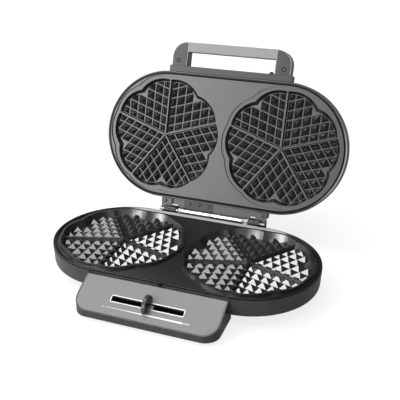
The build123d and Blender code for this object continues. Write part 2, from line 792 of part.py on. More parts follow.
with BuildPart() as ready_lamp_lens:
    with BuildSketch(base_face(-body_radius - ledge_depth)):
        with Locations((lens_x, lens_height)):
            RectangleRounded(lens_width, lens_rise, lens_rise / 4)
    extrude(amount=-lens_depth)
ready_lamp_lens.part.label = "ready_lamp_lens"

with BuildPart() as ready_lamp_body:
    with BuildSketch(base_face(-body_radius)):
        with Locations((lens_x, lamp_height)):
            RectangleRounded(lamp_length, 2 * lamp_radius, lamp_radius * 0.9)
    extrude(amount=2 * lamp_radius)
ready_lamp_body.part.label = "ready_lamp_body"

with BuildPart() as thermostat_bracket:
    with BuildSketch(base_level(plate_seat)):
        with Locations((0, -thermostat_back)):
            RectangleRounded(4 * thermostat_radius, 2 * (thermostat_radius - bracket_clearance),
                             bracket_round)
    extrude(amount=-bracket_thickness)
thermostat_bracket.part.label = "thermostat_bracket"

thermostat_top = plate_seat - bracket_thickness
spindle_top = thermostat_top - spindle_cap
with BuildPart() as thermostat_body:
    with BuildSketch(base_level(thermostat_top)):
        with Locations((0, -thermostat_back)):
            Circle(thermostat_radius)
    extrude(amount=-thermostat_height)
    chamfer(thermostat_body.edges().group_by(Axis.Z)[0], thermostat_chamfer)
    with BuildSketch(base_level(spindle_top)):
        with Locations((0, -thermostat_back)):
            Circle(spindle_radius + spindle_fit)
    extrude(amount=-thermostat_height, mode=Mode.SUBTRACT)
thermostat_body.part.label = "thermostat_body"

lower_thermal_cutout = thermal_cutout(plate_level, 1, "lower_thermal_cutout")

with BuildPart() as terminal_block:
    with BuildSketch(base_level(cavity_floor)):
        with Locations((0, terminal_back)):
            Rectangle(*terminal_size)
    extrude(amount=terminal_height)
    with BuildSketch(base_level(cavity_floor + terminal_height)):
        with Locations((0, terminal_back)):
            with GridLocations(terminal_pitch, 0, 3, 1):
                Circle(terminal_bore)
    extrude(amount=-terminal_height / 2, mode=Mode.SUBTRACT)
terminal_block.part.label = "terminal_block"


def wall_bush(face, height, x, outer, label):
    """A bush through a back wall, its lip outside."""
    with BuildPart() as bush:
        with BuildSketch(face):
            with Locations((x, height)):
                Circle(outer)
        extrude(amount=casing_wall)
        with BuildSketch(face):
            with Locations((x, height)):
                Circle(outer + bush_lip)
        extrude(amount=-bush_lip)
        with BuildSketch(face):
            with Locations((x, height)):
                Circle(outer - 1)
        extrude(amount=3 * casing_wall, both=True, mode=Mode.SUBTRACT)
    bush.part.label = label
    return bush


cord_gland = wall_bush(base_face(body_radius), gland_height, 0, gland_radius, "cord_gland")
base_lead_bush = wall_bush(base_face(body_radius), gland_height, lead_x, bush_radius, "base_lead_bush")

with BuildPart() as rubber_feet:
    with BuildSketch(base_level(0)):
        with Locations(*(front_foot_points + rear_foot_points)):
            Circle(foot_radius)
    extrude(amount=foot_height)
    fillet(rubber_feet.edges().group_by(Axis.Z)[0], foot_round)
rubber_feet.part.label = "rubber_feet"

# ---- hinge, base side ----
with BuildPart() as hinge_rod:
    with BuildSketch(hinge_section(-rod_half_length)):
        Circle(rod_radius)
    extrude(amount=2 * rod_half_length)
    chamfer(hinge_rod.edges().filter_by(GeomType.CIRCLE), 0.4)
hinge_rod.part.label = "hinge_rod"

with BuildPart() as hinge_collars:
    for side in (-1, 1):
        with BuildSketch(hinge_section(side * collar_place - collar_width / 2)):
            Circle(collar_radius)
            Circle(rod_radius, mode=Mode.SUBTRACT)
        extrude(amount=collar_width)
hinge_collars.part.label = "hinge_collars"


def tube_leaf(section, length, bore, flange_face, direction, level, row, label):
    """A rolled tube with a flat leaf: the leaf reaches forward along the flange's face, `direction` is 1 for
    a flange above the tube and -1 for one below it."""
    edge = direction * (flange_face - leaf_sheet)
    leaf_front = -(hinge_back - body_radius)
    with BuildPart() as leaf:
        with BuildSketch(section):
            Circle(tube_radius)
            with BuildLine():
                Polyline((-tube_radius, 0), (-tube_radius, edge), (leaf_front, edge),
                         (leaf_front, direction * flange_face),
                         (leaf_sheet - tube_radius, direction * flange_face),
                         (leaf_sheet - tube_radius, 0), close=True)
            make_face()
            Circle(bore, mode=Mode.SUBTRACT)
        extrude(amount=length)
        add(posts(level, plate_height, screw_radius, row), mode=Mode.SUBTRACT)
    leaf.part.label = label
    return leaf


base_flange_face = flange_low - flange_thickness          # below the axis
lid_flange_face = hinge_rise + lid_flange_start           # above the axis, closed
leaf_row = [(x, screw_y) for x in leaf_screw_x]
base_hinge_leaf = tube_leaf(hinge_section(-1), collar_place - collar_width / 2 - hinge_side_gap + 1,
                            rod_radius, base_flange_face, -1, base_level(0), leaf_row, "base_hinge_leaf")


def stop_y(z):
    """Where the stop post's face is at this height from the axis, parallel to the fully opened lid leaf."""
    reach = hinge_rise + lid_leaf_thickness + stop_gap
    return (reach + z * sin(rest_lean)) / cos(rest_lean)


def base_hinge_bracket(side, label):
    """A base bracket: a leaf screwed to the flange, an arm back under the lid's knuckle and a stop post at
    its end. `side` is -1 for the left one and 1 for the right one."""
    leaf_front = -(hinge_back - body_radius)
    flange_back = body_radius + flange_reach - hinge_back
    leaf_back = -knuckle_radius - 1
    arm_top = -knuckle_radius - arm_gap
    first = min(side * bracket_inner, side * bracket_outer)
    knuckle_first = min(side * bracket_inner, side * (bracket_split - hinge_side_gap / 2))
    knuckle_length = bracket_split - hinge_side_gap / 2 - bracket_inner
    with BuildPart() as bracket:
        with BuildSketch(hinge_section(first)):
            with BuildLine():
                Polyline((leaf_front, -base_flange_face), (leaf_front, -leaf_top), (leaf_back, -leaf_top),
                         (leaf_back, arm_top), (stop_y(arm_top / 2), arm_top),
                         (stop_y(arm_top / 2), arm_top / 2), (stop_y(post_top), post_top),
                         (post_back, post_top), (post_back, arm_top - arm_thickness),
                         (flange_back, arm_top - arm_thickness), (flange_back, -base_flange_face), close=True)
            make_face()
        extrude(amount=bracket_outer - bracket_inner)
        with BuildSketch(hinge_section(knuckle_first)):
            Circle(knuckle_radius)
            with Locations((0, arm_top / 2)):
                Rectangle(2 * knuckle_radius, -arm_top)
        extrude(amount=knuckle_length)
        with BuildSketch(hinge_section(first)):
            Circle(rod_radius)
        extrude(amount=bracket_outer - bracket_inner, mode=Mode.SUBTRACT)
        with BuildSketch(base_level(hinge_z - leaf_top)):
            with Locations((side * screw_offset, screw_y)):
                Circle(screw_radius)
        extrude(amount=-flange_low, mode=Mode.SUBTRACT)
    bracket.part.label = label
    return bracket


def lid_hinge_bracket(side, label):
    """A lid bracket: a flat leaf under the lid's flange and a knuckle on the rod beside the base's."""
    leaf_front = -(hinge_back - body_radius)
    first = min(side * bracket_split, side * bracket_outer)
    knuckle_end = (bracket_split + bracket_outer) / 2
    knuckle_first = min(side * (bracket_split + hinge_side_gap / 2), side * knuckle_end)
    with BuildPart() as bracket:
        with BuildSketch(lid_hinge_section(first)):
            with Locations((leaf_front / 2, hinge_rise + lid_leaf_thickness / 2)):
                Rectangle(-leaf_front, lid_leaf_thickness)
        extrude(amount=bracket_outer - bracket_split)
        with BuildSketch(lid_hinge_section(knuckle_first)):
            Circle(knuckle_radius)
            with Locations((-knuckle_radius / 2, hinge_rise / 2)):
                Rectangle(knuckle_radius, hinge_rise)
        extrude(amount=knuckle_end - bracket_split - hinge_side_gap / 2)
        with BuildSketch(lid_hinge_section(first)):
            Circle(rod_radius + hinge_fit)
        extrude(amount=bracket_outer - bracket_split, mode=Mode.SUBTRACT)
        with BuildSketch(lid_level(0)):
            with Locations((side * screw_offset, screw_y)):
                Circle(screw_radius)
        extrude(amount=lid_leaf_thickness, mode=Mode.SUBTRACT)
    bracket.part.label = label
    return bracket


base_hinge_bracket_left = base_hinge_bracket(-1, "base_hinge_bracket_left")
base_hinge_bracket_right = base_hinge_bracket(1, "base_hinge_bracket_right")
bracket_screws = [(side * screw_offset, screw_y) for side in (-1, 1)]
base_hinge_screws = screw_group(base_level, hinge_z - leaf_top, -bracket_screw_length, bracket_screws,
                                "base_hinge_screws")
base_leaf_screws = screw_group(base_level, hinge_z - base_flange_face + leaf_sheet,
                               -leaf_sheet - flange_thickness + screw_end, leaf_row, "base_leaf_screws")

# ---- slider, rack and pinion ----
arm_depth = slope_shell + slider_clearance                # carriage arm under the panel, along its normal
slot_line = body_radius + ledge_depth + slot_y            # slot in front of the line
tooth_pitch = pi * tooth_module
rack_back = -rack_line + tooth_root * tooth_module + rack_depth   # back of the rack in front of the line
arm_length = ((slot_line - rack_back + rack_depth) / cos(radians(panel_angle)) + stem_width
              - (arm_depth + arm_sheet) * sin(radians(panel_angle)) / cos(radians(panel_angle)))


def slider_section(x):
    """A plane across the slider: its own x runs up the slope and its own y out of it, from the slot."""
    origin = panel_plane.from_local_coords(Vector(x, -slot_from_top, 0))
    return Plane(origin=origin, x_dir=panel_plane.y_dir, z_dir=panel_plane.x_dir)


def gear_tooth():
    """One tooth pointing along +X about the pitch line x = 0."""
    half = (tooth_pitch / 2 - gear_backlash) / 2
    flank = sin(radians(pressure_angle)) / cos(radians(pressure_angle)) * tooth_module
    with BuildSketch() as tooth:
        with BuildLine():
            Polyline((-tooth_root * tooth_module, -half - tooth_root * flank),
                     (tooth_tip * tooth_module, -half + tooth_tip * flank),
                     (tooth_tip * tooth_module, half - tooth_tip * flank),
                     (-tooth_root * tooth_module, half + tooth_root * flank), close=True)
        make_face()
    return tooth.sketch


with BuildPart() as slider_knob:
    with BuildSketch(slider_section(-knob_thickness / 2)):
        with Locations((0, surround_rise + slider_clearance)):
            Circle(knob_radius)
        with Locations((0, surround_rise + slider_clearance - knob_radius)):
            Rectangle(2 * knob_radius, 2 * knob_radius, mode=Mode.SUBTRACT)
    extrude(amount=knob_thickness)
    fillet(slider_knob.edges().filter_by(GeomType.CIRCLE), knob_round)
    with BuildSketch(slider_section(-stem_length / 2)):
        with Locations((0, surround_rise + slider_clearance)):
            Rectangle(stem_width, arm_depth + surround_rise + slider_clearance,
                      align=(Align.CENTER, Align.MAX))
    extrude(amount=stem_length)
slider_knob.part.label = "slider_knob"

with BuildPart() as slider_rack:
    with BuildSketch(slider_section(-arm_half)):
        with Locations((-stem_width, -arm_depth)):
            Rectangle(arm_length, arm_sheet, align=(Align.MIN, Align.MAX))
    extrude(amount=2 * arm_half)
    with BuildSketch(base_level(gear_height)):
        with Locations((0, -rack_back)):
            Rectangle(2 * arm_half, rack_depth, align=(Align.CENTER, Align.MIN))
    extrude(amount=slope_height(-rack_back, arm_depth + arm_sheet / 2) - gear_height)
    with BuildSketch(base_level(gear_height)):
        with Locations((0, -rack_back)):
            Rectangle(2 * rack_half, rack_depth, align=(Align.CENTER, Align.MIN))
        tooth_count = 2 * int((rack_half - tooth_pitch / 2) / tooth_pitch) + 1
        with GridLocations(tooth_pitch, 0, tooth_count, 1):
            with Locations(Location((0, rack_line, 0), (0, 0, 90))):
                add(gear_tooth())
    extrude(amount=gear_thickness)
slider_rack.part.label = "slider_rack"

with BuildPart() as thermostat_pinion:
    with BuildSketch(base_level(gear_height)):
        with Locations((0, -thermostat_back)):
            Circle(pinion_radius - tooth_root * tooth_module + root_overlap)
            with PolarLocations(pinion_radius, pinion_teeth, start_angle=-90 + 180 / pinion_teeth):
                add(gear_tooth())
            Circle(spindle_radius, mode=Mode.SUBTRACT)
    extrude(amount=gear_thickness)
thermostat_pinion.part.label = "thermostat_pinion"

with BuildPart() as thermostat_spindle:
    with BuildSketch(base_level(cavity_floor + spindle_gap)):
        with Locations((0, -thermostat_back)):
            Circle(spindle_radius)
    extrude(amount=spindle_top - cavity_floor - 2 * spindle_gap)
    chamfer(thermostat_spindle.edges().filter_by(GeomType.CIRCLE), 0.3)
thermostat_spindle.part.label = "thermostat_spindle"


# ---- lid ----
lid_axis = Axis(lid_level(0).origin, lid_level(0).z_dir)
lid_screw_seat = plate_flat + plate_boss_height + lid_screw_grip
strip_front = body_radius + base_strip_depth
handle_screw_y = strip_front + handle_screw_reach
handle_screw_points = [(side * handle_screw_x, -handle_screw_y) for side in (-1, 1)]
lid_leaf_row = [(-x, screw_y) for x in leaf_screw_x]


def handle_outline(inset):
    """The handle from above, with its two front corners rounded."""
    with BuildSketch() as outline:
        with Locations((0, -(handle_front + strip_front - inset) / 2)):
            Rectangle(2 * (handle_half_width - inset), handle_front - strip_front - inset)
        fillet(outline.vertices().group_by(Axis.Y)[0], handle_corner - inset)
    return outline.sketch


def insert_outline(side):
    """One insert: up the arm and round the corner to the bar's end, inside the frame's skin."""
    first = handle_inner_half + handle_skin
    with BuildSketch() as outline:
        with Locations((side * (first + handle_half_width) / 2, -(handle_front + strip_front) / 2)):
            Rectangle(handle_half_width - first, handle_front - strip_front)
        add(handle_outline(handle_skin), mode=Mode.INTERSECT)
    return outline.sketch


with BuildPart() as lid_space:
    with BuildSketch(lid_level(0)):
        add(body_outline(casing_inner))
    extrude(amount=lid_thickness - casing_wall)
    fillet(lid_space.edges().group_by(lid_axis)[-1], lid_crown - casing_wall)

with BuildPart() as upper_casing:
    with BuildSketch(lid_level(lid_casing_start)):
        add(body_outline(body_radius))
    extrude(amount=lid_thickness - lid_casing_start)
    fillet(upper_casing.edges().group_by(lid_axis)[-1], lid_crown)
    with BuildSketch(lid_level(lid_flange_start)):
        with Locations((0, body_radius - flange_reach)):
            RectangleRounded(2 * flange_half_width, 4 * flange_reach, flange_corner)
        with Locations((0, body_radius + (flange_reach + lid_flange_middle) / 2)):
            Rectangle(2 * (bracket_inner - lid_flange_gap), flange_reach + lid_flange_middle)
    extrude(amount=flange_thickness)
    with BuildSketch(lid_level(0)):
        add(body_outline(body_radius))
    extrude(amount=lid_casing_start, mode=Mode.SUBTRACT)
    add(lid_space.part, mode=Mode.SUBTRACT)
    add(body_ring(lid_level(plate_flat), casing_wall, casing_inner, ledge_inner))
    add(posts(lid_level(plate_flat + plate_boss_height),
              lid_thickness - casing_wall / 2 - plate_flat - plate_boss_height, boss_radius,
              plate_screw_points))
    add(posts(lid_level(lid_screw_seat), lid_thickness, cap_radius, plate_screw_points), mode=Mode.SUBTRACT)
    add(posts(lid_level(0), lid_thickness, screw_radius, plate_screw_points), mode=Mode.SUBTRACT)
    add(posts(lid_level(lid_flange_start), flange_thickness, screw_radius, bracket_screws + lid_leaf_row),
        mode=Mode.SUBTRACT)
    with BuildSketch(lid_face(-body_radius)):
        with Locations((pilot_x, pilot_height)):
            Circle(pilot_radius)
    extrude(amount=-2 * casing_wall, mode=Mode.SUBTRACT)
    with BuildSketch(lid_face(body_radius)):
        with Locations((lead_x, lid_lead_height)):
            Circle(bush_radius)
    extrude(amount=2 * casing_wall, mode=Mode.SUBTRACT)
upper_casing.part.label = "upper_casing"

with BuildPart() as upper_bezel:
    add(body_ring(lid_level(lid_bezel_start), plate_flat - lid_bezel_start, body_radius - bezel_inset,
                  bezel_inner))
    with BuildPart(mode=Mode.SUBTRACT):
        with BuildSketch(lid_level(lid_bezel_start)):
            add(body_outline(body_radius - bezel_inset - bezel_top))
        with BuildSketch(lid_level(lid_bezel_start + lid_bezel_fall)):
            add(body_outline(bezel_inner))
        loft(ruled=True)
    fillet(upper_bezel.edges().group_by(lid_axis)[0], bezel_round)
upper_bezel.part.label = "upper_bezel"

upper_plate = waffle_plate(lid_level, -1, "upper_plate")
upper_heating_element = heating_element(lid_level, -1, "upper_heating_element")
upper_element_clamps = element_clamps(lid_level, -1, "upper_element_clamps")
upper_heat_shield = heat_shield(lid_level, -1, "upper_heat_shield", False)
upper_plate_screws = screw_group(lid_level, lid_screw_seat, screw_end + plate_flat - lid_screw_seat,
                                 plate_screw_points, "upper_plate_screws")
upper_thermal_cutout = thermal_cutout(lid_level, -1, "upper_thermal_cutout")
lid_lead_bush = wall_bush(lid_face(body_radius), lid_lead_height, lead_x, bush_radius, "lid_lead_bush")

with BuildPart() as lid_screw_caps:
    with BuildSketch(lid_level(lid_thickness)):
        with Locations(*plate_screw_points):
            Circle(cap_radius)
    extrude(amount=-casing_wall)
lid_screw_caps.part.label = "lid_screw_caps"

with BuildPart() as handle_base_strip:
    with BuildSketch(lid_level(strip_start)):
        with Locations((0, -(body_radius + strip_front) / 2)):
            Rectangle(2 * base_strip_half_width, base_strip_depth)
    extrude(amount=handle_thickness)
    with BuildSketch(lid_face(-strip_front)):
        with Locations((pilot_x, pilot_height)):
            Circle(pilot_radius)
    extrude(amount=-base_strip_depth, mode=Mode.SUBTRACT)
handle_base_strip.part.label = "handle_base_strip"

with BuildPart() as handle_frame:
    with BuildSketch(lid_level(handle_start)):
        add(handle_outline(0))
        with Locations((0, -(handle_front - handle_bar + strip_front) / 2)):
            Rectangle(2 * handle_inner_half, handle_front - handle_bar - strip_front, mode=Mode.SUBTRACT)
    extrude(amount=handle_thickness)
    fillet(handle_frame.faces().sort_by(lid_axis)[-1].outer_wire().edges(), handle_round)
    with BuildSketch(lid_level(handle_start)):
        add(insert_outline(-1))
        add(insert_outline(1))
    extrude(amount=insert_depth, mode=Mode.SUBTRACT)
handle_frame.part.label = "handle_frame"


def handle_insert(side, label):
    with BuildPart() as insert:
        with BuildSketch(lid_level(handle_start)):
            add(insert_outline(side))
        extrude(amount=insert_depth)
        add(posts(lid_level(handle_start), insert_depth, screw_radius, handle_screw_points),
            mode=Mode.SUBTRACT)
        add(posts(lid_level(handle_start), screw_sink, screw_head_radius + screw_clearance,
                  handle_screw_points), mode=Mode.SUBTRACT)
    insert.part.label = label
    return insert


handle_insert_left = handle_insert(-1, "handle_insert_left")
handle_insert_right = handle_insert(1, "handle_insert_right")
handle_screws = screw_group(lid_level, handle_start + screw_sink, insert_depth - screw_sink - screw_end,
                            handle_screw_points, "handle_screws")

with BuildPart() as pilot_lamp_lens:
    with Locations(lid_face(-strip_front).location * Location((pilot_x, pilot_height, 0))):
        Sphere(lens_radius, arc_size1=0, align=(Align.CENTER, Align.CENTER, Align.MIN))
pilot_lamp_lens.part.label = "pilot_lamp_lens"

with BuildPart() as pilot_lamp_body:
    with BuildSketch(lid_face(-strip_front)):
        with Locations((pilot_x, pilot_height)):
            Circle(pilot_radius)
    extrude(amount=-base_strip_depth - 2 * casing_wall)
pilot_lamp_body.part.label = "pilot_lamp_body"

lid_hinge_leaf = tube_leaf(lid_hinge_section(-collar_place + collar_width / 2 + hinge_side_gap),
                           collar_place - collar_width / 2 - hinge_side_gap - 2, rod_radius + hinge_fit,
                           lid_flange_face, 1, lid_level(0), lid_leaf_row, "lid_hinge_leaf")
lid_hinge_bracket_left = lid_hinge_bracket(-1, "lid_hinge_bracket_left")
lid_hinge_bracket_right = lid_hinge_bracket(1, "lid_hinge_bracket_right")
lid_hinge_screws = screw_group(lid_level, 0, lid_leaf_thickness + flange_thickness - screw_end,
                               bracket_screws, "lid_hinge_screws")
lid_leaf_screws = screw_group(lid_level, lid_flange_start - leaf_sheet,
                              leaf_sheet + flange_thickness - screw_end, lid_leaf_row, "lid_leaf_screws")

pieces = [
    lower_casing, bottom_cover, panel_cover, lower_bezel, lower_plate, lower_heating_element,
    lower_element_clamps, lower_heat_shield, lower_plate_screws, lower_thermal_cutout, control_panel,
    slot_surround, ready_lamp_lens, ready_lamp_body, thermostat_body, thermostat_bracket, terminal_block,
    cord_gland, base_lead_bush, rubber_feet, cover_screws, wedge_screws, hinge_rod, hinge_collars,
    base_hinge_leaf, base_hinge_bracket_left, base_hinge_bracket_right, base_hinge_screws, base_leaf_screws,
    slider_knob, slider_rack, thermostat_pinion, thermostat_spindle,
    upper_casing, upper_bezel, upper_plate, upper_heating_element, upper_element_clamps, upper_heat_shield,
    upper_plate_screws, upper_thermal_cutout, lid_lead_bush, lid_screw_caps, handle_base_strip, handle_frame,
    handle_insert_left, handle_insert_right, handle_screws, pilot_lamp_lens, pilot_lamp_body, lid_hinge_leaf,
    lid_hinge_bracket_left, lid_hinge_bracket_right, lid_hinge_screws, lid_leaf_screws,
]

os.makedirs("parts", exist_ok=True)
for piece in pieces:
    export_step(piece.part, f"parts/{piece.part.label}.step")
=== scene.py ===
import bpy
import bmesh
import json
import math
from mathutils import Matrix, Vector


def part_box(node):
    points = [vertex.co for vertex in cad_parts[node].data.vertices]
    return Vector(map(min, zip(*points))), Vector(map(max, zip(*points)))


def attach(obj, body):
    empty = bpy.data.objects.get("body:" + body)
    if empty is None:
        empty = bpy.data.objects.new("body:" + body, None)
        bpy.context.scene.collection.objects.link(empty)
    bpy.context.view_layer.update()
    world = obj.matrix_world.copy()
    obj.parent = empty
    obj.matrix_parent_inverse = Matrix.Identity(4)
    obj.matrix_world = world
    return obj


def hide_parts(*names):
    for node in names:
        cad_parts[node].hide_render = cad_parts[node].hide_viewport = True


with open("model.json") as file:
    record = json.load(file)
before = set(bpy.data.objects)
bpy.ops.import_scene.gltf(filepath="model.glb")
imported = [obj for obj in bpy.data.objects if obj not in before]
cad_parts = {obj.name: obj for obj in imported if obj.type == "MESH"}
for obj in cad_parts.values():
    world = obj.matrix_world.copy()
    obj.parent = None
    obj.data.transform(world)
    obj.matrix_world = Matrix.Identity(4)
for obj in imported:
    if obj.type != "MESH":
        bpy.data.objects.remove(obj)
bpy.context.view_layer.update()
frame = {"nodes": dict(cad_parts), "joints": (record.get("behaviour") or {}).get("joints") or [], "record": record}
nodes = frame["nodes"]
mm = 0.001
print("frame loaded:", len(nodes), "nodes")

# places that everything else is worked out from
bezelLow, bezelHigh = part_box("lower_bezel")
mouldLineY = (bezelLow.y + bezelHigh.y) / 2
bezelRise = 2.4 * mm
plateFaceZ = bezelHigh.z - bezelRise
hinge = next(joint for joint in frame["joints"] if joint["name"] == "lid_hinge")
hingeY, hingeZ = hinge["pos_m"][1], hinge["pos_m"][2]


class Wire:
    def __init__(self, paint, socket):
        self.paint = paint
        self.socket = socket

    def maths(self, operation, other, swapped=False):
        pair = (other, self) if swapped else (self, other)
        return self.paint.add("ShaderNodeMath", {"operation": operation}, {0: pair[0], 1: pair[1]})

    def __add__(self, other):
        return self.maths("ADD", other)

    def __radd__(self, other):
        return self.maths("ADD", other, True)

    def __sub__(self, other):
        return self.maths("SUBTRACT", other)

    def __rsub__(self, other):
        return self.maths("SUBTRACT", other, True)

    def __mul__(self, other):
        return self.maths("MULTIPLY", other)

    def __rmul__(self, other):
        return self.maths("MULTIPLY", other, True)


class Paint:
    def __init__(self, name):
        self.material = bpy.data.materials.new(name)
        self.material.use_nodes = True
        self.nodes = self.material.node_tree.nodes
        self.links = self.material.node_tree.links
        self.shader = self.nodes["Principled BSDF"]

    def add(self, kind, settings=None, sockets=None, output=0):
        node = self.nodes.new(kind)
        for name, value in (settings or {}).items():
            if name == "stops":                       # colour ramp: (place, grey or colour) pairs
                ramp = node.color_ramp
                while len(ramp.elements) < len(value):
                    ramp.elements.new(0.5)
                for element, (place, colour) in zip(ramp.elements, value):
                    element.position = place
                    element.color = colour if isinstance(colour, tuple) else (colour, colour, colour, 1)
            else:
                setattr(node, name, value)
        for name, value in (sockets or {}).items():
            self.plug(node.inputs[name], value)
        return Wire(self, node.outputs[output])

    def plug(self, socket, value):
        if isinstance(value, Wire):
            self.links.new(value.socket, socket)
        else:
            socket.default_value = value

    def set(self, **sockets):
        for name, value in sockets.items():
            self.plug(self.shader.inputs[name.replace("_", " ")], value)
        return self

    def place(self, scale=(1, 1, 1), turn=(0, 0, 0)):
        where = self.add("ShaderNodeTexCoord", output="Object")
        return self.add("ShaderNodeMapping", None, {"Vector": where, "Scale": scale, "Rotation": turn})

    def noise(self, scale, detail=2.0, rough=0.5, where=None):
        return self.add("ShaderNodeTexNoise", None,
                        {"Vector": where or self.place(), "Scale": scale, "Detail": detail, "Roughness": rough})

    def ramp(self, value, stops):
        return self.add("ShaderNodeValToRGB", {"stops": stops}, {"Fac": value})

    def spread(self, value, low, high):               # 0..1 to low..high
        return value * (high - low) + low

    def mix(self, factor, first, second):
        return self.add("ShaderNodeMix", {"data_type": "RGBA"},
                        {"Factor": factor, "A": first, "B": second}, "Result")

    def bump(self, height, strength, distance):
        return self.add("ShaderNodeBump", None, {"Height": height, "Strength": strength, "Distance": distance})

    def axes(self, vector):                           # the three parts of a vector
        split = self.add("ShaderNodeSeparateXYZ", None, {"Vector": vector})
        return [Wire(self, output) for output in split.socket.node.outputs]

    def step(self, value, low, high):                 # smooth 0..1 as value goes from low to high
        return self.add("ShaderNodeMapRange", {"interpolation_type": "SMOOTHSTEP"},
                        {"Value": value, "From Min": low, "From Max": high, "To Min": 0.0, "To Max": 1.0})

    def between(self, value, low, high, blur):        # 1 inside low..high, 0 outside
        return self.step(value, low - blur, low + blur) * (1.0 - self.step(value, high - blur, high + blur))


def grey(value):
    return (value, value, value * 1.02, 1.0)


def mouldedPlastic(name, shade, gloss, grain=0.35):
    paint = Paint(name)
    cloud = paint.noise(38, 3)
    fine = paint.noise(2600, 2, 0.6)
    specks = paint.noise(900, 1)
    tone = paint.mix(cloud, grey(shade * 0.86), grey(shade * 1.14))
    paint.set(Base_Color=tone, Roughness=paint.spread(cloud * 0.6 + specks * 0.4, gloss - 0.07, gloss + 0.09),
              Normal=paint.bump(fine, grain, 0.00006))
    return paint.material


def glossBlack(name):
    paint = Paint(name)
    cloud = paint.noise(45, 3)
    dust = paint.ramp(paint.noise(1400, 3, 0.7), [(0.55, 0.0), (0.8, 1.0)])
    paint.set(Base_Color=paint.mix(dust * 0.15, grey(0.006), grey(0.04)), IOR=1.6,
              Roughness=paint.spread(cloud, 0.1, 0.2) + dust * 0.1,
              Normal=paint.bump(paint.noise(180, 2), 0.04, 0.0002))
    return paint.material


def nonStick(name, shade, shine):                     # shine is the coating's refractive index
    paint = Paint(name)
    cloud = paint.noise(30, 3)
    flakes = paint.ramp(paint.noise(5200, 1, 0.5), [(0.45, 0.0), (0.75, 1.0)])
    grain = paint.noise(1500, 3, 0.6)
    paint.set(Base_Color=paint.mix(flakes, grey(shade * 0.7), grey(shade * 1.8)), IOR=shine,
              Roughness=paint.spread(cloud * 0.5 + grain * 0.5, 0.16, 0.32),
              Normal=paint.bump(grain, 0.1, 0.00008))
    return paint.material


def brushedMetal(name, shade, along, gloss, metallic):
    paint = Paint(name)
    streaks = paint.noise(1.0, 3, 0.65, paint.place(along))
    cloud = paint.noise(25, 2)
    tone = paint.mix(streaks, grey(shade * 0.82), grey(shade * 1.12))
    paint.set(Base_Color=tone, Metallic=metallic,
              Roughness=paint.spread(streaks * 0.6 + cloud * 0.4, gloss - 0.06, gloss + 0.08),
              Normal=paint.bump(streaks, 0.12, 0.00005))
    return paint.material


def printedPanel(name):
    paint = Paint(name)
    streaks = paint.noise(1.0, 3, 0.65, paint.place((60, 2600, 2600)))
    cloud = paint.noise(25, 2)
    x, y, z = paint.axes(paint.add("ShaderNodeTexCoord", output="Object"))
    run = (y - panelTop[1]) * (-math.cos(panelSlope)) + (z - panelTop[2]) * (-math.sin(panelSlope))
    half = paint.spread(paint.step(x, scale["left"] * mm, scale["right"] * mm), scale["thin"] * mm / 2,
                        scale["thick"] * mm / 2)
    middle = (run - scale["down"] * mm).maths("ABSOLUTE", 0.0)
    line = (1.0 - paint.step(middle - half, -0.00008, 0.00008)) * paint.between(
        x, scale["left"] * mm, scale["right"] * mm, 0.0001)
    marks = paint.between(run, (scale["down"] - 1.0) * mm, (scale["down"] + 1.0) * mm, 0.0001)
    ends = paint.between(x, (scale["left"] - 2.8) * mm, (scale["left"] - 2.2) * mm, 0.0001)
    for place in scale["bars"]:
        bar = (scale["right"] + place) * mm
        ends = ends + paint.between(x, bar, bar + scale["bar width"] * mm, 0.0001)
    ink = (line + marks * ends).maths("MINIMUM", 1.0)
    metal = paint.mix(streaks, grey(0.15), grey(0.2))
    paint.set(Base_Color=paint.mix(ink, metal, grey(0.8)), Metallic=0.2 - ink * 0.2,
              Roughness=paint.spread(streaks * 0.6 + cloud * 0.4, 0.34, 0.48),
              Normal=paint.bump(streaks, 0.12, 0.00005))
    return paint.material


def platedSteel(name, shade, gloss):
    paint = Paint(name)
    cloud = paint.noise(160, 3)
    pits = paint.noise(2400, 2)
    paint.set(Base_Color=paint.mix(cloud, grey(shade * 0.88), grey(shade)), Metallic=1.0,
              Roughness=paint.spread(cloud * 0.7 + pits * 0.3, gloss - 0.05, gloss + 0.1),
              Normal=paint.bump(pits, 0.08, 0.00004))
    return paint.material


hingeTube = {"radius": 3.75, "blur": 0.1}             # mm from the hinge's axis, where bright turns black


def tubeAndLeaf(name):                                # polished tube, black leaf
    paint = Paint(name)
    cloud = paint.noise(160, 3)
    pits = paint.noise(2400, 2)
    x, y, z = paint.axes(paint.add("ShaderNodeTexCoord", output="Object"))
    fromAxis = ((y - hingeY) * (y - hingeY) + (z - hingeZ) * (z - hingeZ)).maths("POWER", 0.5)
    leaf = paint.step(fromAxis, (hingeTube["radius"] - hingeTube["blur"]) * mm,
                      (hingeTube["radius"] + hingeTube["blur"]) * mm)
    paint.set(Base_Color=paint.mix(leaf, paint.mix(cloud, grey(0.68), grey(0.78)), grey(0.012)),
              Metallic=1.0 - leaf,
              Roughness=paint.spread(cloud * 0.7 + pits * 0.3, 0.16, 0.3) + leaf * 0.15,
              Normal=paint.bump(pits, 0.08, 0.00004))
    return paint.material


def softRubber(name):
    paint = Paint(name)
    fine = paint.noise(1900, 3, 0.6)
    dust = paint.ramp(paint.noise(300, 3), [(0.5, 0.0), (0.8, 1.0)])
    paint.set(Base_Color=paint.mix(dust, grey(0.016), grey(0.05)), Roughness=paint.spread(dust, 0.62, 0.85),
              Normal=paint.bump(fine, 0.3, 0.0001))
    return paint.material


def lampPlastic(name, colour):
    paint = Paint(name)
    cloud = paint.noise(300, 2)
    paint.set(Base_Color=paint.mix(cloud, colour, tuple(c * 0.6 for c in colour[:3]) + (1,)),
              Roughness=paint.spread(cloud, 0.08, 0.16), Normal=paint.bump(paint.noise(600, 1), 0.05, 0.0002))
    return paint.material


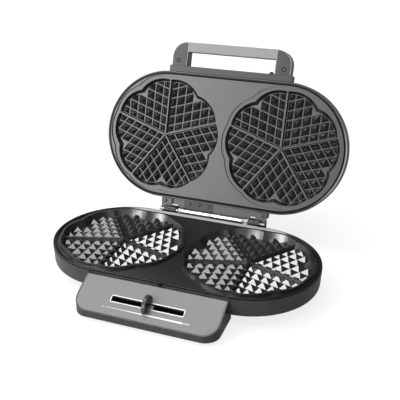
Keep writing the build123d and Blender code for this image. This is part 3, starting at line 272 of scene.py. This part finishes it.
def plainBody(name, colour, gloss):
    paint = Paint(name)
    cloud = paint.noise(120, 3)
    fine = paint.noise(1800, 2)
    paint.set(Base_Color=paint.mix(cloud, colour, tuple(c * 0.82 for c in colour[:3]) + (1,)),
              Roughness=paint.spread(cloud, gloss - 0.06, gloss + 0.06), Normal=paint.bump(fine, 0.1, 0.00006))
    return paint.material


panelSlope = math.radians(27)
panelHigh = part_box("control_panel")[1]
panelTop = (0, panelHigh.y, panelHigh.z)
scale = {                # the printed scale under the slot, in mm: along X, down the slope, its two thicknesses
    "left": -48, "right": 46, "down": 38.3, "thin": 0.35, "thick": 2.2,
    "bars": (1.6, 3.4, 5.2, 7.0), "bar width": 0.7,
}

finishes = {
    "casing_plastic": mouldedPlastic("casingPlastic", 0.04, 0.27),
    "insert_plastic": mouldedPlastic("insertPlastic", 0.022, 0.36),
    "knob_plastic": mouldedPlastic("knobPlastic", 0.05, 0.22, 0.2),
    "bezel_black": glossBlack("bezelBlack"),
    "plate_coating": nonStick("lowerCoating", 0.014, 2.2),
    "panel_metal": printedPanel("panelMetal"),
    "handle_silver": brushedMetal("handleSilver", 0.26, (40, 2200, 2200), 0.5, 0.15),
    "slot_trim": platedSteel("slotTrim", 0.55, 0.3),
    "hinge_steel": platedSteel("hingeSteel", 0.5, 0.25),
    "screw_steel": platedSteel("screwSteel", 0.06, 0.3),
    "element_sheath": platedSteel("elementSheath", 0.35, 0.45),
    "shield_sheet": platedSteel("shieldSheet", 0.7, 0.35),
    "rubber": softRubber("softRubber"),
    "lamp_red": lampPlastic("lampRed", (0.008, 0.003, 0.003, 1)),
    "lamp_glass": lampPlastic("lampGlass", (0.5, 0.35, 0.25, 1)),
    "ceramic": plainBody("ceramic", (0.7, 0.68, 0.62, 1), 0.4),
    "gear_plastic": plainBody("gearPlastic", (0.6, 0.6, 0.56, 1), 0.45),
}
ownFinish = {"upper_plate": nonStick("upperCoating", 0.014, 1.6),
             "base_hinge_leaf": tubeAndLeaf("baseTubeAndLeaf"), "lid_hinge_leaf": tubeAndLeaf("lidTubeAndLeaf")}
print("finishes made:", len(finishes))

slotOf = {row["node"]: row["material_slot"] for row in frame["record"]["subparts"]}
bodyOf = {node: body for body, members in frame["record"]["behaviour"]["bodies"].items() for node in members}
for nodeName, piece in nodes.items():
    piece.data.materials.clear()
    piece.data.materials.append(ownFinish.get(nodeName, finishes[slotOf[nodeName]]))

cleaning = {"merge": 0.002, "flat": 0.6, "crisp": 24}  # mm, degrees, degrees
softening = {            # bevel width in mm, segments, smallest edge angle
    "lower_plate": (0.35, 2, 22), "upper_plate": (0.35, 2, 22),
    "lower_casing": (0.5, 2, 30), "upper_casing": (0.5, 2, 30),
    "control_panel": (0.3, 2, 30), "slot_surround": (0.25, 2, 30),
    "slider_knob": (0.3, 2, 30),
    "handle_frame": (0.5, 2, 30), "handle_insert_left": (0.9, 3, 30), "handle_insert_right": (0.9, 3, 30),
    "handle_base_strip": (0.8, 3, 30),
    "lower_bezel": (0.25, 2, 20), "upper_bezel": (0.25, 2, 20),
}


def softenedCopy(nodeName, width, segments, angle):
    source = nodes[nodeName]
    mesh = source.data.copy()
    shape = bmesh.new()
    shape.from_mesh(mesh)
    bmesh.ops.remove_doubles(shape, verts=shape.verts, dist=cleaning["merge"] * mm)
    bmesh.ops.dissolve_limit(shape, angle_limit=math.radians(cleaning["flat"]), verts=shape.verts,
                             edges=shape.edges)
    sharp = [edge for edge in shape.edges
             if edge.is_manifold and edge.calc_face_angle(0) > math.radians(angle)]
    bmesh.ops.bevel(shape, geom=sharp, offset=width * mm, segments=segments, profile=0.5, affect="EDGES",
                    material=-1, clamp_overlap=True)
    bmesh.ops.triangulate(shape, faces=[face for face in shape.faces if len(face.verts) > 4])
    shape.to_mesh(mesh)
    shape.free()
    mesh.shade_smooth()
    mesh.set_sharp_from_angle(angle=math.radians(cleaning["crisp"]))
    piece = bpy.data.objects.new("soft_" + nodeName, mesh)
    flatter = piece.modifiers.new("flatter", "WEIGHTED_NORMAL")
    flatter.keep_sharp = True
    flatter.weight = 100
    bpy.context.scene.collection.objects.link(piece)
    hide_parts(nodeName)
    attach(piece, bodyOf[nodeName])
    return piece


for nodeName, (width, segments, angle) in softening.items():
    piece = softenedCopy(nodeName, width, segments, angle)
    print("softened", nodeName, len(piece.data.polygons))

floorFacts = {           # glow is what the floor throws up on the object, less of it towards the right
    "size": 6, "shade": 0.26, "gloss": 0.45, "strength": 0.8, "glowLeft": 0.5, "glowRight": 0.12,
    "from": -0.6, "to": 0.25,
}
floorMesh = bpy.data.meshes.new("floor")
shape = bmesh.new()
bmesh.ops.create_grid(shape, x_segments=1, y_segments=1, size=floorFacts["size"])
shape.to_mesh(floorMesh)
shape.free()
floor = bpy.data.objects.new("floor", floorMesh)
bpy.context.scene.collection.objects.link(floor)
floorPaint = Paint("floorPaint")
floorX = floorPaint.axes(floorPaint.add("ShaderNodeTexCoord", output="Object"))[0]
bounced = floorPaint.spread(floorPaint.step(floorX, floorFacts["from"], floorFacts["to"]),
                            floorFacts["glowLeft"], floorFacts["glowRight"])
shown = floorPaint.add("ShaderNodeLightPath", output="Is Camera Ray")
glow = bounced * (1.0 - shown) + shown
floorGlow = floorPaint.add("ShaderNodeCombineColor", None, {"Red": glow, "Green": glow, "Blue": glow})
floorPaint.set(Base_Color=(floorFacts["shade"], floorFacts["shade"], floorFacts["shade"], 1),
               Roughness=floorFacts["gloss"], Emission_Color=floorGlow,
               Emission_Strength=floorFacts["strength"])
floorMesh.materials.append(floorPaint.material)

scene = bpy.context.scene
scene.view_settings.view_transform = "Standard"
world = bpy.data.worlds.new("studio")
scene.world = world
world.use_nodes = True


class Sky(Paint):
    def __init__(self, world):
        self.nodes = world.node_tree.nodes
        self.links = world.node_tree.links
        self.shader = self.nodes["Background"]

    def softbox(self, direction, inner, outer, power):   # a round lamp in the sky, its two radii in degrees
        facing = self.add("ShaderNodeVectorMath", {"operation": "DOT_PRODUCT"},
                          {0: self.direction, 1: Vector(direction).normalized()}, "Value")
        return self.step(facing, math.cos(math.radians(outer)), math.cos(math.radians(inner))) * power


sky = Sky(world)
sky.direction = sky.add("ShaderNodeTexCoord", output="Generated")
x, y, z = sky.axes(sky.direction)
skyLamps = {             # direction, inner and outer radius in degrees, power
    "above left": ((-0.645, -0.25, 0.72), 12, 19, 6.5),
    "above front": ((0.09, -0.37, 0.925), 12, 19, 3.2),
    "overhead": ((-0.3, 0.1, 0.95), 5, 10, 9.0),
}
wallFacts = {"bright": 7.0, "dim": 0.5, "top": 0.5, "foot": 0.3}  # a wide lamp in front, brightest at the left
fillFacts = {"left": 0.35, "everywhere": 0.08}
frontWall = sky.between(z, -0.05, wallFacts["top"], 0.06) * sky.step(y * -1.0, 0.5, 0.75) * (
    (1.0 - sky.step(x, -0.62, 0.12)) * wallFacts["bright"] + wallFacts["dim"]) * (
    sky.step(z, -0.25, 0.3) * (1.0 - wallFacts["foot"]) + wallFacts["foot"])
light = frontWall + (1.0 - sky.step(x, -0.9, 0.6)) * fillFacts["left"] + fillFacts["everywhere"]
for direction, inner, outer, power in skyLamps.values():
    light = light + sky.softbox(direction, inner, outer, power)
seen = sky.add("ShaderNodeLightPath", output="Is Camera Ray")
sky.set(Color=(1, 1, 1, 1), Strength=light * (1.0 - seen) + seen)

cameraFacts = {"place": (262.9, -682.0, 398.2), "target": (-39.4, 168.8, -10.7), "roll": 0.71, "lens": 59.3}
cameraData = bpy.data.cameras.new("camera")
cameraData.lens = cameraFacts["lens"]
cameraData.sensor_width = 36
camera = bpy.data.objects.new("camera", cameraData)
origin = Vector((0, mouldLineY, plateFaceZ))
camera.location = origin + Vector(cameraFacts["place"]) * mm
aim = origin + Vector(cameraFacts["target"]) * mm - camera.location
camera.rotation_mode = "QUATERNION"
camera.rotation_quaternion = (aim.to_track_quat("-Z", "Y")
                              @ Matrix.Rotation(math.radians(cameraFacts["roll"]), 3, "Z").to_quaternion())
scene.collection.objects.link(camera)
scene.camera = camera
